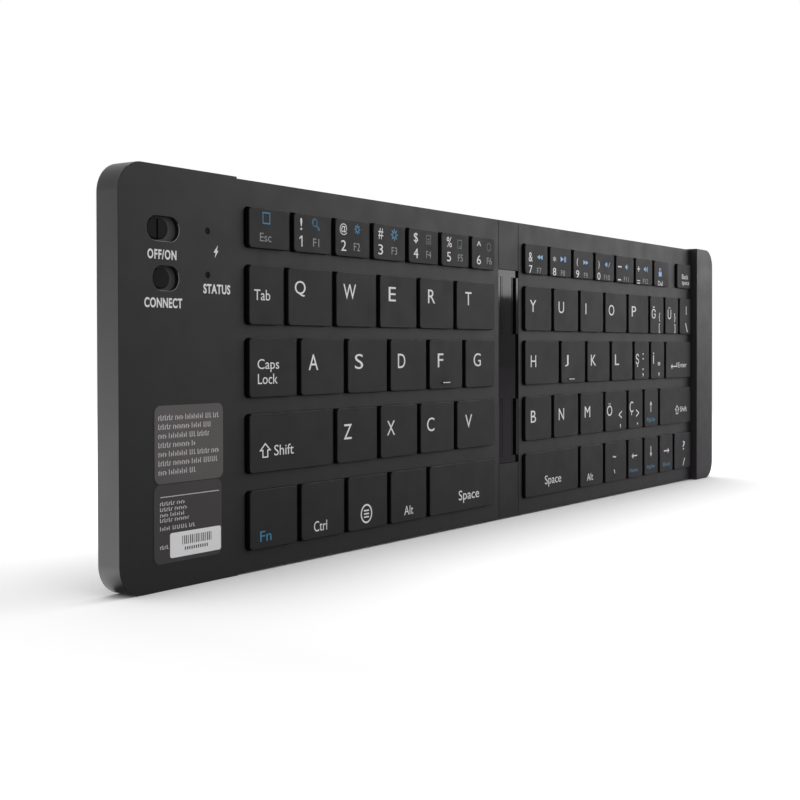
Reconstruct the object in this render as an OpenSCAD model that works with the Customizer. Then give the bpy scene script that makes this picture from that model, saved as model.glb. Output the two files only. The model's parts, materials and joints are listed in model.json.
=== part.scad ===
// Pocket keyboard in two halves that fold face to face about a two-axis spine.
// It lies flat with its keys up: X runs along the key rows, the number row is
// towards +Y, and Z = 0 is the surface that the rubber feet stand on.

/* [Body] */
// Length of each half, from its outer end to the spine
half_len = 139.1; // [136:0.1:150]
// Thickness of each half, without its feet
body_t = 5.7; // [5.6:0.1:7]
// Thickness of the two key decks
deck_t = 1.0; // [0.8:0.1:1.2]
// Thickness of the two floors
floor_t = 0.8; // [0.6:0.1:1]
// Thickness of the walls along the long edges
wall = 1.2; // [0.8:0.1:1.4]
// Gap between pieces that are put together loosely
seam = 0.1; // [0.05:0.01:0.15]
// Height of the rubber feet
foot_h = 0.6; // [0.4:0.1:2]
// Radius of a rubber foot
foot_r = 4; // [2:0.5:5]

/* [End caps] */
// Length of the plain margin that the left cap covers
margin_len = 32.9; // [31:0.1:36]
// Width of the raised rail along the right end
rail_w = 14.8; // [12:0.1:16]
// Height of the rail above the key deck
rail_h = 2.27; // [1.8:0.01:3]
// How far the caps stand proud of the decks on each side
cap_proud = 0.4; // [0.2:0.05:1]
// Radius of the outer corners
corner_r = 6; // [3:0.5:8]
// Thickness of the caps' walls
cap_wall = 1.4; // [1.1:0.1:1.8]

/* [Keys] */
// Height of a key above the deck
key_proud = 0.7; // [0.4:0.05:1]
// Height of a key cap, top to skirt
key_t = 2.0; // [1.8:0.1:2.2]
// Travel of a key
key_travel = 1.2; // [0.8:0.1:1.3]
// Depth of a letter key, across the row
key_d = 12.2; // [11.5:0.1:12.4]
// Depth of a number key, across the row
number_d = 8.2; // [7.9:0.1:8.6]
// Gap between neighbouring keys of a row
key_gap = 1.7; // [1.2:0.1:2]
// Gap between the end keys of a row and the deck
end_gap = 0.95; // [0.3:0.05:1.1]
// Gap between a key's long edges and the deck
side_gap = 0.15; // [0.15:0.05:0.35]
// Radius of a key's corners
key_r = 1.0; // [0.5:0.1:1.2]
// Thickness of a key's skirt
key_wall = 0.9; // [0.7:0.1:1]
// Thickness of a key's top
key_top = 0.9; // [0.7:0.1:1]

/* [Key layout] */
// From the deck's far edge to the number row
rows_top = 5.6; // [5:0.1:6]
// From the bottom row to the deck's near edge
rows_bottom = 4.4; // [4:0.1:6]
// Web between the number row and the upper row
web_number = 3.8; // [3.6:0.1:4]
// Web between the upper row and the home row
web_upper = 3.0; // [2.6:0.1:3.2]
// Web between the home row and the lower row
web_home = 3.6; // [3:0.1:3.8]
// Web between the lower row and the bottom row
web_lower = 3.8; // [3.6:0.1:4]
// From the margin to the first key of a left row
left_lead = 3.0; // [2:0.1:3]
// From the last key of a left row to the spine
left_tail = 3.2; // [3:0.1:3.8]
// From the spine to the first key of a right row
right_lead = 2.8; // [2.4:0.1:3]
// From the last key of a right row to the rail
right_tail = 1.8; // [1.6:0.1:3]
// Width of the 6 key; the number keys before it share out the rest of their row
six_w = 11.8; // [10:0.1:13]
// Width of the G key; the letter keys before it share out the rest of their row
g_w = 15.0; // [13:0.1:17]
// Pitch of the narrow keys at the right
narrow_pitch = 12.5; // [12:0.05:12.7]
// Pitch from Tab to the first letter
tab_pitch = 12.7; // [12:0.1:14]
// Pitch from the left Shift to the first letter
shift_pitch = 29.9; // [28:0.1:31]
// Pitch from H to J, the widest letter key
wide_pitch = 21.6; // [20:0.1:22]
// Pitch across the right Space
space_pitch = 33.9; // [30:0.1:35]
// Pitch across the first narrow key of the home row
home_pitch = 13.0; // [12:0.1:14]
// Width of the Delete key
delete_w = 12.1; // [10:0.1:13]
// Width of the Backspace key
backspace_w = 11.9; // [9:0.1:12]

/* [Hinge] */
// Width of the spine, from half to half
spine_w = 10.8; // [10.4:0.1:12]
// Depth of the two fold axes below the key decks
axis_drop = 1.8; // [1.7:0.05:1.9]
// Air between the closed rail and the margin
fold_gap = 0.15; // [0.1:0.05:0.3]
// Air between the round faces of spine and halves
turn_gap = 0.1; // [0.06:0.01:0.15]
// Radius of a hinge pin
pin_r = 0.6; // [0.4:0.05:0.7]
// Running clearance round a pin
pin_gap = 0.05; // [0.02:0.01:0.08]
// Length of each knuckle
knuckle_len = 15.5; // [12:0.5:17]
// From the ends of the recess to the knuckles
knuckle_inset = 2.1; // [1.5:0.1:2.5]
// Length of a pin beyond its knuckle, at each end
pin_grip = 2.4; // [1.5:0.1:3]
// Depth of the recess between the spine's end blocks
recess_d = 0.55; // [0.45:0.05:0.6]
// Length of the spine's end block by the number row
far_block = 13.3; // [12:0.1:14]
// Length of the spine's end block by the Space key
near_block = 14.7; // [12:0.1:15]
// Thickness of the spine's cover
cover_t = 0.4; // [0.3:0.05:0.5]
// Width of the leaves' feet inside the halves
leaf_w = 8; // [5:0.5:10]

/* [Inside] */
// Thickness of the hinge leaves' feet, and of the gap that they fill
leaf_t = 0.6; // [0.5:0.05:0.7]
// Thickness of the steel key plates
plate_t = 0.3; // [0.2:0.05:0.4]
// Thickness of the switch membranes
membrane_t = 0.3; // [0.2:0.05:0.4]
// Thickness of the rubber dome sheets
sheet_t = 0.15; // [0.1:0.01:0.2]
// Radius of a rubber dome
dome_r = 1.6; // [1.2:0.1:1.6]
// Height of a dome's skirt
dome_h = 0.6; // [0.4:0.1:0.8]
// Radius of the plunger that stands on a dome
plunger_r = 1.04; // [0.8:0.01:1.2]
// Thickness of the bars of the links under a key
link_bar = 0.45; // [0.35:0.05:0.5]
// Longest span of the links under a key
link_span = 7.6; // [6:0.1:8]
// Gap between the links and the ends of a key's hollow
link_gap = 0.4; // [0.2:0.05:0.5]
// Thickness of the circuit board
board_t = 0.8; // [0.6:0.1:1]
// Thickness of the battery
battery_t = 3.2; // [2.5:0.1:3.4]
// From the outer end to the battery
battery_in = 4; // [3:0.1:5]
// Gap between the battery and the end of the key deck
battery_gap = 2.2; // [2:0.1:3]
// From the middle to the near edge of the circuit board
board_from = 3.5; // [3:0.1:6]
// Gap between the circuit board and the cap's walls
board_gap = 1; // [0.6:0.1:2]
// Gap between the circuit board and the end of the key deck
board_in = 3; // [2:0.1:4]
// Length of the radio's can
radio_l = 10; // [8:0.5:12]
// Width of the radio's can
radio_w = 8; // [6:0.5:10]
// Height of the radio's can
radio_h = 1.4; // [1:0.1:2]
// Length and width of the charger chip
chip_w = 5; // [3:0.5:6]
// Height of the charger chip
chip_h = 1; // [0.6:0.1:1.2]
// Length of a switch's body on the board
switch_l = 8; // [6:0.5:9]
// Width of a switch's body on the board
switch_w = 3.5; // [3:0.1:4]
// Radius of a magnet
magnet_r = 3; // [2:0.5:3]
// Thickness of a magnet
magnet_t = 1.5; // [1:0.1:1.6]
// From the deck's near edge to the near magnets
magnet_near = 6; // [5:0.1:8]
// From the middle to the middle magnets
magnet_mid = 0.5; // [0:0.1:2]
// From the deck's far edge to the far magnets
magnet_far = 5.2; // [5:0.1:6]
// Radius of a screw's shank
screw_r = 0.65; // [0.5:0.05:0.7]

/* [Switches] */
// Length of the power switch's slot
power_slot = 8.7; // [8:0.1:9]
// Length of the connect switch's slot
connect_slot = 7.1; // [6.5:0.1:8]
// Width of both slots
slot_w = 4.8; // [4:0.1:5]
// Length of the power switch's knob
power_knob = 5.8; // [5:0.1:6]
// Length of the connect switch's knob
connect_knob = 4.7; // [4.5:0.1:5]
// Gap round the knobs in their slots
knob_gap = 0.4; // [0.2:0.05:0.5]
// How far the knobs lie below the margin's face
knob_drop = 0.3; // [0.2:0.05:0.5]
// From the outer end to the power switch
power_in = 11.75; // [11:0.05:13]
// From the deck's far edge to the power switch
power_down = 11.85; // [11:0.05:13]
// From the outer end to the connect switch
connect_in = 12.45; // [11:0.05:13]
// From the power switch to the connect switch
connect_down = 9.5; // [9:0.05:11]
// From the outer end to the indicator lights
light_in = 24.1; // [22:0.1:26]
// From the deck's far edge to the upper light
light_down = 11.4; // [10:0.1:13]
// Distance between the two lights
light_pitch = 8.8; // [8:0.1:10]
// Radius of the two indicator lights
light_r = 0.55; // [0.4:0.05:0.7]
// From the outer end to the charging socket
port_in = 24; // [22:0.1:26]
// Width of the charging socket
port_w = 7.5; // [7:0.1:9]
// Height of the charging socket
port_h = 2.4; // [2.2:0.1:2.45]
// Depth of the charging socket
port_d = 5.2; // [4.5:0.1:6]

/* [Hidden] */
$fn = 48;
EPS = 0.01;
FAR = 200;

LEFT = -1;
RIGHT = 1;

// Heights, from the table up
base_z = foot_h;
floor_z = base_z + floor_t;
plate_z = floor_z + leaf_t;
membrane_z = plate_z + plate_t;
sheet_z = membrane_z + membrane_t;
dome_z = sheet_z + sheet_t;
deck_z = base_z + body_t;
under_z = deck_z - deck_t;
key_z = deck_z + key_proud;
skirt_z = key_z - key_t;
plunger_z = skirt_z - key_wall / 2;
roof_z = key_z - key_top;
rail_z = deck_z + rail_h;
board_z = plate_z + board_t;

// Distances along X from the middle of the spine
hinge_x = spine_w / 2;
out_x = hinge_x + half_len;
margin_x = out_x - margin_len;
rail_x = out_x - rail_w;

// Distances across, along Y
deck_w = rows_top + number_d + web_number + web_upper + web_home + web_lower
    + 4 * key_d + rows_bottom;
deck_y = deck_w / 2;
cap_y = deck_y + cap_proud;
inner_y = deck_y - wall;

// The fold axes: closed, the decks face each other across the rail and its gap
axis_x = (rail_h + fold_gap) / 2 + axis_drop;
axis_z = deck_z - axis_drop;
turn_r = norm([hinge_x - axis_x, axis_drop]);
spine_r = turn_r - turn_gap;
spine_x = axis_x + sqrt(spine_r * spine_r - axis_drop * axis_drop);
knuckle_r = axis_drop - recess_d;
arm_x = axis_x + knuckle_r + seam;
cover_x = axis_x + sqrt(spine_r * spine_r - knuckle_r * knuckle_r) - EPS;
recess_y0 = near_block - deck_y;
recess_y1 = deck_y - far_block;
knuckles = [
    [recess_y0 + knuckle_inset, recess_y0 + knuckle_inset + knuckle_len],
    [recess_y1 - knuckle_inset - knuckle_len, recess_y1 - knuckle_inset]
];
hinge_wall = 1.4;
pin_fit = 0.02;
wall_x = hinge_x + hinge_wall;

// The flat cable crosses the spine between the two pairs of knuckles
flex_y = (knuckles[0][1] + knuckles[1][0]) / 2;
flex_w = 7;
flex_t = 0.15;
flex_z = axis_z - flex_t / 2;
flex_room = 0.3;

// Rows of keys: the middle and the depth of each, from the far edge
row_d = [number_d, key_d, key_d, key_d, key_d];
row_web = [rows_top, web_number, web_upper, web_home, web_lower];
function before(list, n) = n < 1 ? 0 : list[n - 1] + before(list, n - 1);
function row_y(n) = deck_y - before(row_web, n + 1) - before(row_d, n) - row_d[n] / 2;
function web_y(n) = row_y(n) - row_d[n] / 2 - row_web[n + 1] / 2;

function repeated(count, pitch) = [for (k = [1:count]) pitch];

left_x0 = left_lead - margin_x;
left_x1 = -hinge_x - left_tail;
right_x0 = hinge_x + right_lead;
right_x1 = rail_x - right_tail;
number_pitch = (left_x1 - left_x0 - six_w) / 6;
letter_pitch = (left_x1 - left_x0 - g_w) / 5;

// A bank of keys shares one opening: row, first edge, last edge, pitches
left_banks = [
    [0, left_x0, left_x1, repeated(6, number_pitch)],
    [1, left_x0, left_x1, concat([tab_pitch], repeated(4, letter_pitch))],
    [2, left_x0, left_x1, repeated(5, letter_pitch)],
    [3, left_x0, left_x1, concat([shift_pitch], repeated(3, letter_pitch))],
    [4, left_x0, left_x1, repeated(4, letter_pitch)]
];
right_banks = [
    [0, right_x0, right_x0 + 6 * number_pitch + delete_w, repeated(6, number_pitch)],
    [0, right_x1 - backspace_w, right_x1, []],
    [1, right_x0, right_x1, concat(repeated(5, letter_pitch), repeated(2, narrow_pitch))],
    [2, right_x0, right_x1,
        concat([wide_pitch], repeated(3, letter_pitch), [home_pitch, narrow_pitch])],
    [3, right_x0, right_x1, concat(repeated(4, letter_pitch), repeated(2, narrow_pitch))],
    [4, right_x0, right_x1,
        concat([space_pitch], repeated(2, letter_pitch), repeated(3, narrow_pitch))]
];
function key_x0(bank, n) = bank[1] + before(bank[3], n);
function key_x1(bank, n) = n == len(bank[3]) ? bank[2] : key_x0(bank, n + 1) - key_gap;
function key_w(bank, n) = key_x1(bank, n) - key_x0(bank, n);
function key_at(bank, n) = [(key_x0(bank, n) + key_x1(bank, n)) / 2, row_y(bank[0])];

// Screws stand in the webs between rows, and beside the parts under the caps
screw_in = 12;
screw_out = 4;
screw_up = 5;
rail_screw_y = 18;
head_r = 2 * screw_r;
head_t = 0.5;
boss_r = 1.4;
screw_tip = 0.6;
deck_screws = [for (n = [0, 3]) web_y(n)];
left_screw_x = [hinge_x + screw_in, margin_x - screw_in];
right_screw_x = [hinge_x + screw_in, rail_x - screw_in];
margin_screws = [for (y = [0, screw_up - deck_y]) [margin_x + screw_out, y]];
rail_screws = [for (y = [-1, 1] * rail_screw_y) [out_x - rail_w / 2, y]];

// Magnets lie under the margin's face and face their partners in the rail
magnet_x = out_x - rail_w / 2;
magnet_ys = [magnet_near - deck_y, -magnet_mid, deck_y - magnet_far];

// Where the switches, lights and socket stand on the margin
power_at = [power_in - out_x, deck_y - power_down];
connect_at = [connect_in - out_x, power_at[1] - connect_down];
lights_at = [for (n = [0, 1]) [light_in - out_x, deck_y - light_down - n * light_pitch]];
port_x = port_in - out_x;
power_travel = power_slot - power_knob - knob_gap;
connect_travel = connect_slot - connect_knob - knob_gap;
flange_t = 0.4;
flange_lap = 0.3;
flange_z = under_z - seam - flange_t;

// ---- shapes that repeat ----

// A box on one side of the spine, from u0 to u1 away from its middle
module slab(side, u0, u1, y0, y1, z0, z1) {
    translate([side > 0 ? u0 : -u1, y0, z0]) cube([u1 - u0, y1 - y0, z1 - z0]);
}

// A flat outline with four round corners
module round_outline(x0, x1, y0, y1, r) {
    translate([x0 + r, y0]) square([x1 - x0 - 2 * r, y1 - y0]);
    translate([x0, y0 + r]) square([x1 - x0, y1 - y0 - 2 * r]);
    for (x = [x0 + r, x1 - r], y = [y0 + r, y1 - r]) translate([x, y]) circle(r);
}

// A slab whose two outer corners are round
module end_slab(side, u0, u1, half_y, r, z0, z1) {
    translate([0, 0, z0]) linear_extrude(z1 - z0)
        mirror([side > 0 ? 0 : 1, 0]) {
            translate([u0, -half_y]) square([u1 - r - u0, 2 * half_y]);
            translate([u0, r - half_y]) square([u1 - u0, 2 * (half_y - r)]);
            for (y = [-1, 1]) translate([u1 - r, y * (half_y - r)]) circle(r);
        }
}

module post(at, r, z0, z1) {
    translate([at[0], at[1], z0]) cylinder(r = r, h = z1 - z0);
}

// A round bar along Y about a fold axis
module bar(side, r, y0, y1) {
    translate([side * axis_x, y0, axis_z]) rotate([-90, 0, 0]) cylinder(r = r, h = y1 - y0);
}

module each_screw(side, xs, extra) {
    for (x = xs, y = deck_screws) translate([side * x, y]) children();
    for (at = extra) translate([side * at[0], at[1]]) children();
}

module screw_hole(z0, z1, r = screw_r + seam) {
    translate([0, 0, z0]) cylinder(r = r, h = z1 - z0);
}

// ---- the two halves ----

// Floor, long walls and hinge wall of one half; the end cap closes the rest
module base(side, cap_x, xs, extra, posts) {
    inset = cap_wall + seam;
    difference() {
        union() {
            slab(side, hinge_x, cap_x, -deck_y, deck_y, base_z, floor_z);
            end_slab(side, cap_x - EPS, out_x - inset, cap_y - inset, corner_r - inset,
                base_z, floor_z);
            for (y = [-deck_y, deck_y - wall])
                slab(side, hinge_x, cap_x, y, y + wall, floor_z, under_z);
            hinge_wall_of(side);
            each_screw(side, xs, extra) screw_hole(floor_z, plate_z, boss_r);
            for (at = posts) post(at, boss_r, floor_z, plate_z);
        }
        each_screw(side, xs, extra) {
            screw_hole(0, FAR);
            screw_hole(0, base_z + head_t, head_r + seam);
        }
        turning_room(side);
    }
}

// The wall beside the spine, open where the leaf's arms and the cable pass
module hinge_wall_of(side) {
    difference() {
        slab(side, hinge_x, wall_x, -inner_y, inner_y, floor_z, under_z);
        for (k = knuckles)
            slab(side, 0, FAR, k[0] - seam, k[1] + seam, floor_z, FAR);
        slab(side, 0, FAR, flex_y - flex_w / 2 - flex_room, flex_y + flex_w / 2 + flex_room,
            flex_z - flex_room, FAR);
    }
}

// The round hollow in which the spine's rounded flank turns
module turning_room(side) {
    bar(side, turn_r, -FAR, FAR);
}

module deck(side, cap_x, banks, xs) {
    difference() {
        union() {
            slab(side, hinge_x, cap_x, -deck_y, deck_y, under_z, deck_z);
            each_screw(side, xs, []) screw_hole(sheet_z, under_z, boss_r);
        }
        for (b = banks) bank_opening(b);
        each_screw(side, xs, []) screw_hole(0, under_z - screw_tip + seam);
        turning_room(side);
    }
}

module bank_opening(bank) {
    y = row_y(bank[0]);
    d = row_d[bank[0]] / 2 + side_gap;
    translate([0, 0, under_z - EPS]) linear_extrude(deck_t + 2 * EPS)
        round_outline(bank[1] - end_gap, bank[2] + end_gap, y - d, y + d, key_r + side_gap);
}

module feet(side, xs) {
    for (x = xs, y = [-1, 1]) post([side * x, y * (deck_y - 2 * foot_r)], foot_r, 0, foot_h);
}

module screws(side, xs, extra) {
    each_screw(side, xs, extra) {
        translate([0, 0, base_z]) cylinder(r = head_r, h = head_t);
        translate([0, 0, base_z]) cylinder(r = screw_r, h = under_z - screw_tip - base_z);
    }
}

// A thin sheet under one half's keys, drilled for its screws
module key_sheet(side, cap_x, xs, z, t, hole_r, lead = 0) {
    difference() {
        slab(side, wall_x + seam + lead, cap_x - seam, -inner_y + seam, inner_y - seam, z, z + t);
        each_screw(side, xs, []) screw_hole(0, FAR, hole_r);
    }
}

module domes(banks) {
    for (b = banks, n = [0:len(b[3])]) {
        post(key_at(b, n), dome_r, dome_z - EPS, dome_z + dome_h);
        post(key_at(b, n), plunger_r, dome_z, plunger_z - seam / 2);
    }
}

// Two frames that cross under each key and keep it level
module scissors(banks) {
    low_z = dome_z + link_bar / 2 + seam;
    high_z = roof_z - link_bar / 2 - seam;
    for (b = banks, n = [0:len(b[3])]) {
        w = key_w(b, n);
        reach = min(link_span, w - 2 * (key_wall + link_gap));
        outer = row_d[b[0]] / 2 - key_wall - link_gap - link_bar / 2;
        for (shift = w > 3 * link_span ? [-w / 4, w / 4] : [0])
            translate(concat(key_at(b, n) + [shift, 0], (low_z + high_z) / 2)) {
                link(reach, outer, link_bar, high_z - low_z);
                mirror([1, 0, 0]) link(reach, outer - link_bar - 2 * seam, link_bar, high_z - low_z);
            }
    }
}

module link(reach, half_y, t, rise) {
    run = norm([reach, rise]) - t;
    rotate([0, -atan2(rise, reach), 0]) {
        for (y = [-1, 1]) translate([0, y * half_y, 0]) cube([run, t, t], center = true);
        for (x = [-1, 1])
            translate([x * (run - t) / 2, 0, 0]) cube([t, 2 * half_y, t], center = true);
    }
}

module magnets(side, z) {
    for (y = magnet_ys) post([side * magnet_x, y], magnet_r, z - magnet_t, z);
}

// ---- left half ----

module left_base() {
    color("dimgray") base(LEFT, margin_x, left_screw_x, margin_screws, board_posts);
}

module left_deck() {
    color("#3c3c3e") deck(LEFT, margin_x, left_banks, left_screw_x);
}

// Where the floor's posts carry the circuit board
board_posts = [for (x = [4, margin_len - 6], y = [board_from + 3, cap_y - 9]) [x - out_x, y]];

module margin_cover() {
    color("#38383a") difference() {
        union() {
            difference() {
                end_slab(LEFT, margin_x, out_x, cap_y, corner_r, base_z, deck_z);
                end_slab(LEFT, margin_x - 1, out_x - cap_wall, cap_y - cap_wall,
                    corner_r - cap_wall, 0, under_z);
            }
            for (at = margin_screws) post([-at[0], at[1]], boss_r, plate_z, under_z);
        }
        for (at = margin_screws)
            translate([-at[0], at[1]]) screw_hole(0, under_z - screw_tip + seam);
        switch_slot(power_at, power_slot);
        switch_slot(connect_at, connect_slot);
        for (at = lights_at) post(at, light_r + seam, 0, FAR);
        translate([port_x - port_w / 2 - seam, 0, board_z - seam])
            cube([port_w + 2 * seam, FAR, port_h + 2 * seam]);
    }
}

module stadium(length, width) {
    square([length - width, width], center = true);
    for (x = [-1, 1]) translate([x * (length - width) / 2, 0]) circle(width / 2);
}

module switch_slot(at, length) {
    translate([at[0], at[1], under_z - EPS]) linear_extrude(deck_t + 2 * EPS)
        stadium(length, slot_w);
}

module left_feet() {
    color("black") feet(LEFT, [hinge_x + 4 * foot_r, margin_x - 1.5 * foot_r]);
}

module left_screws() {
    color("silver") screws(LEFT, left_screw_x, margin_screws);
}

module left_key_plate() {
    color("silver") key_sheet(LEFT, margin_x, left_screw_x, plate_z, plate_t, screw_r + 2 * seam);
}

// The membrane's tail reaches over to the circuit board
module left_membrane() {
    tail_x = margin_x + board_in - seam;
    tail_y = board_from + radio_w / 2;
    tail_w = 12;
    color("ivory") {
        key_sheet(LEFT, margin_x, left_screw_x, membrane_z, membrane_t, screw_r + 2 * seam);
        slab(LEFT, margin_x - 1, tail_x, tail_y, tail_y + tail_w, membrane_z, sheet_z);
    }
}

module left_dome_sheet() {
    color("gainsboro") {
        key_sheet(LEFT, margin_x, left_screw_x, sheet_z, sheet_t, boss_r + seam, 0.4);
        domes(left_banks);
    }
}

module left_scissors() {
    color("whitesmoke") scissors(left_banks);
}

module battery() {
    cell_r = 1.2;
    color("silver") linear_extrude_from(floor_z, battery_t)
        round_outline(battery_in - out_x, -margin_x - battery_gap,
            magnet_ys[0] + magnet_r + seam, magnet_ys[1] - magnet_r - boss_r, cell_r);
}

module linear_extrude_from(z, h) {
    translate([0, 0, z]) linear_extrude(h) children();
}

// The board with the parts soldered to it: two switch bodies, radio and charger
module main_board() {
    x0 = cap_wall + board_gap - out_x;
    parts_y = board_from + 1.5;
    color("darkgreen") {
        linear_extrude_from(plate_z, board_t) round_outline(x0, -margin_x - board_in,
            board_from, cap_y - cap_wall - board_gap, corner_r - cap_wall - board_gap);
        for (at = [power_at, connect_at])
            translate([at[0] - switch_l / 2, at[1] - switch_w / 2, board_z - EPS])
                cube([switch_l, switch_w, flange_z - seam - board_z + EPS]);
        translate([-margin_x - 2 * board_in - radio_l, parts_y, board_z - EPS])
            cube([radio_l, radio_w, radio_h]);
        translate([x0 + 2 * board_in, parts_y, board_z - EPS]) cube([chip_w, chip_w, chip_h]);
    }
}

// A metal shell round a plastic tongue, open at the edge of the cap
module charge_port() {
    shell = 0.3;
    back = 1;
    color("silver") translate([port_x - port_w / 2, cap_y - seam - port_d, board_z])
        difference() {
            cube([port_w, port_d, port_h]);
            translate([shell, back, shell])
                cube([port_w - 2 * shell, port_d, port_h - 2 * shell]);
        }
    color("black") translate([port_x - port_w / 4, cap_y - port_d, board_z + port_h / 2 - shell])
        cube([port_w / 2, port_d - back - 0.5, 2 * shell]);
}

module light_pipes() {
    color("white") for (at = lights_at) post(at, light_r, board_z, deck_z - seam);
}

module left_magnets() {
    color("silver") magnets(LEFT, under_z);
}

// A knob on a flange that hides the slot over its whole travel
module slider(at, slot, knob, travel) {
    left = at[0] - slot / 2;
    color("#161617") {
        translate([left - travel - flange_lap, at[1] - slot_w / 2 - flange_lap, flange_z])
            cube([slot + travel + 2 * flange_lap, slot_w + 2 * flange_lap, flange_t]);
        translate([left + knob_gap / 2 + knob / 2, at[1], flange_z])
            linear_extrude(deck_z - knob_drop - flange_z) stadium(knob, slot_w - 2 * knob_gap);
    }
}

module power_slider() {
    slider(power_at, power_slot, power_knob, power_travel);
}

module connect_slider() {
    slider(connect_at, connect_slot, connect_knob, connect_travel);
}

// ---- right half ----

module right_base() {
    color("dimgray") base(RIGHT, rail_x, right_screw_x, rail_screws, []);
}

module right_deck() {
    color("#3c3c3e") deck(RIGHT, rail_x, right_banks, right_screw_x);
}

// A raised cap along the outer end, hollow for its magnets
module end_rail() {
    color("#4a4a4c") difference() {
        union() {
            difference() {
                end_slab(RIGHT, rail_x, out_x, cap_y, corner_r, base_z, rail_z);
                end_slab(RIGHT, rail_x + cap_wall, out_x - cap_wall, cap_y - cap_wall,
                    corner_r - cap_wall, 0, rail_z - deck_t);
                slab(RIGHT, rail_x - 1, rail_x + cap_wall + 1, cap_wall - cap_y,
                    cap_y - cap_wall, 0, under_z);
            }
            for (at = rail_screws) post(at, boss_r, plate_z, rail_z - deck_t);
        }
        for (at = rail_screws) translate(at) screw_hole(0, under_z - screw_tip + seam);
    }
}

module right_feet() {
    color("black") feet(RIGHT, [hinge_x + 4 * foot_r, rail_x - 1.5 * foot_r]);
}

module right_screws() {
    color("silver") screws(RIGHT, right_screw_x, rail_screws);
}

module right_key_plate() {
    color("silver") key_sheet(RIGHT, rail_x, right_screw_x, plate_z, plate_t, screw_r + 2 * seam);
}

module right_membrane() {
    color("ivory") key_sheet(RIGHT, rail_x, right_screw_x, membrane_z, membrane_t,
        screw_r + 2 * seam);
}

module right_dome_sheet() {
    color("gainsboro") {
        key_sheet(RIGHT, rail_x, right_screw_x, sheet_z, sheet_t, boss_r + seam, 0.4);
        domes(right_banks);
    }
}

module right_scissors() {
    color("whitesmoke") scissors(right_banks);
}

module right_magnets() {
    color("silver") magnets(RIGHT, rail_z - deck_t);
}

// ---- hinge ----

// Knuckles and arms that reach over the spine, on a foot inside the half
module hinge_leaf(side) {
    y0 = knuckles[0][0];
    y1 = knuckles[1][1];
    difference() {
        union() {
            for (k = knuckles) {
                bar(side, knuckle_r, k[0], k[1]);
                slab(side, axis_x, wall_x, k[0], k[1], axis_z - knuckle_r, axis_z);
                slab(side, arm_x, hinge_x, k[0], k[1], axis_z - EPS, deck_z - seam);
                slab(side, arm_x, wall_x, k[0], k[1], axis_z - EPS, under_z - seam / 2);
                difference() {
                    slab(side, hinge_x + seam, wall_x, k[0], k[1], floor_z, under_z - seam / 2);
                    turning_room(side);
                }
                slab(side, hinge_x + seam, wall_x + 1, k[0], k[1], floor_z, plate_z);
            }
            slab(side, wall_x + seam, wall_x + leaf_w, y0, y1, floor_z, plate_z);
        }
        bar(side, pin_r + pin_gap, -FAR, FAR);
        for (y = deck_screws) translate([side * (hinge_x + screw_in), y])
            screw_hole(0, FAR, boss_r + seam);
    }
}

module left_hinge_leaf() {
    color("#1c1c1e") hinge_leaf(LEFT);
}

module right_hinge_leaf() {
    color("#1c1c1e") hinge_leaf(RIGHT);
}

// The bar between the halves: rounded flanks, slots for the arms, pin bores
module spine_body() {
    color("#3a3a3c") difference() {
        union() {
            translate([-spine_x, -deck_y, base_z]) cube([2 * spine_x, deck_w, body_t]);
            for (side = [LEFT, RIGHT]) bar(side, spine_r, -deck_y, deck_y);
        }
        translate([-FAR, -FAR, deck_z]) cube(2 * FAR);
        translate([-FAR, recess_y0, deck_z - recess_d - cover_t])
            cube([2 * FAR, recess_y1 - recess_y0, FAR]);
        for (side = [LEFT, RIGHT], k = knuckles) {
            arm_slot(side, k);
            bar(side, pin_r + pin_fit, k[0] - pin_grip, k[1] + pin_grip);
        }
        translate([-FAR, flex_y - flex_w / 2 - flex_room, flex_z - flex_room])
            cube([2 * FAR, flex_w + 2 * flex_room, flex_t + 2 * flex_room]);
    }
}

// Room for a leaf's knuckle, and for its arm from flat to upright
module arm_slot(side, k) {
    bar(side, knuckle_r + seam, k[0] - seam, k[1] + seam);
    slab(side, axis_x, FAR, k[0] - seam, k[1] + seam, axis_z - knuckle_r - seam, FAR);
}

module spine_cover() {
    color("#1c1c1e") difference() {
        translate([-cover_x, recess_y0 + seam, deck_z - recess_d - cover_t])
            cube([2 * cover_x, recess_y1 - recess_y0 - 2 * seam, cover_t]);
        for (side = [LEFT, RIGHT], k = knuckles) arm_slot(side, k);
    }
}

module hinge_pins() {
    color("silver") for (side = [LEFT, RIGHT], k = knuckles)
        bar(side, pin_r, k[0] - pin_grip, k[1] + pin_grip);
}

// A flat cable from membrane to membrane, across both fold axes
module flex_cable() {
    leg_x = wall_x + 2 * seam;
    y = flex_y - flex_w / 2;
    color("peru") {
        translate([-leg_x, y, flex_z]) cube([2 * leg_x, flex_w, flex_t]);
        for (side = [LEFT, RIGHT])
            slab(side, leg_x - flex_t / 2, leg_x + flex_t / 2, y, y + flex_w, sheet_z,
                flex_z + flex_t);
    }
}

// ---- keys ----

// A hollow cap with a plunger that stands on its dome
module key(bank, n) {
    at = key_at(bank, n);
    x0 = key_x0(bank, n);
    x1 = key_x1(bank, n);
    d = row_d[bank[0]] / 2;
    color("#343436") {
        difference() {
            linear_extrude_from(skirt_z, key_t)
                round_outline(x0, x1, at[1] - d, at[1] + d, key_r);
            translate([x0 + key_wall, at[1] - d + key_wall, skirt_z - EPS])
                cube([x1 - x0 - 2 * key_wall, 2 * (d - key_wall), roof_z - skirt_z + EPS]);
        }
        post(at, plunger_r, plunger_z, roof_z + EPS);
    }
}

module bank_keys(bank) {
    for (n = [0:len(bank[3])]) key(bank, n);
}

module right_number_keys() {
    bank_keys(right_banks[0]);
    bank_keys(right_banks[1]);
}

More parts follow.
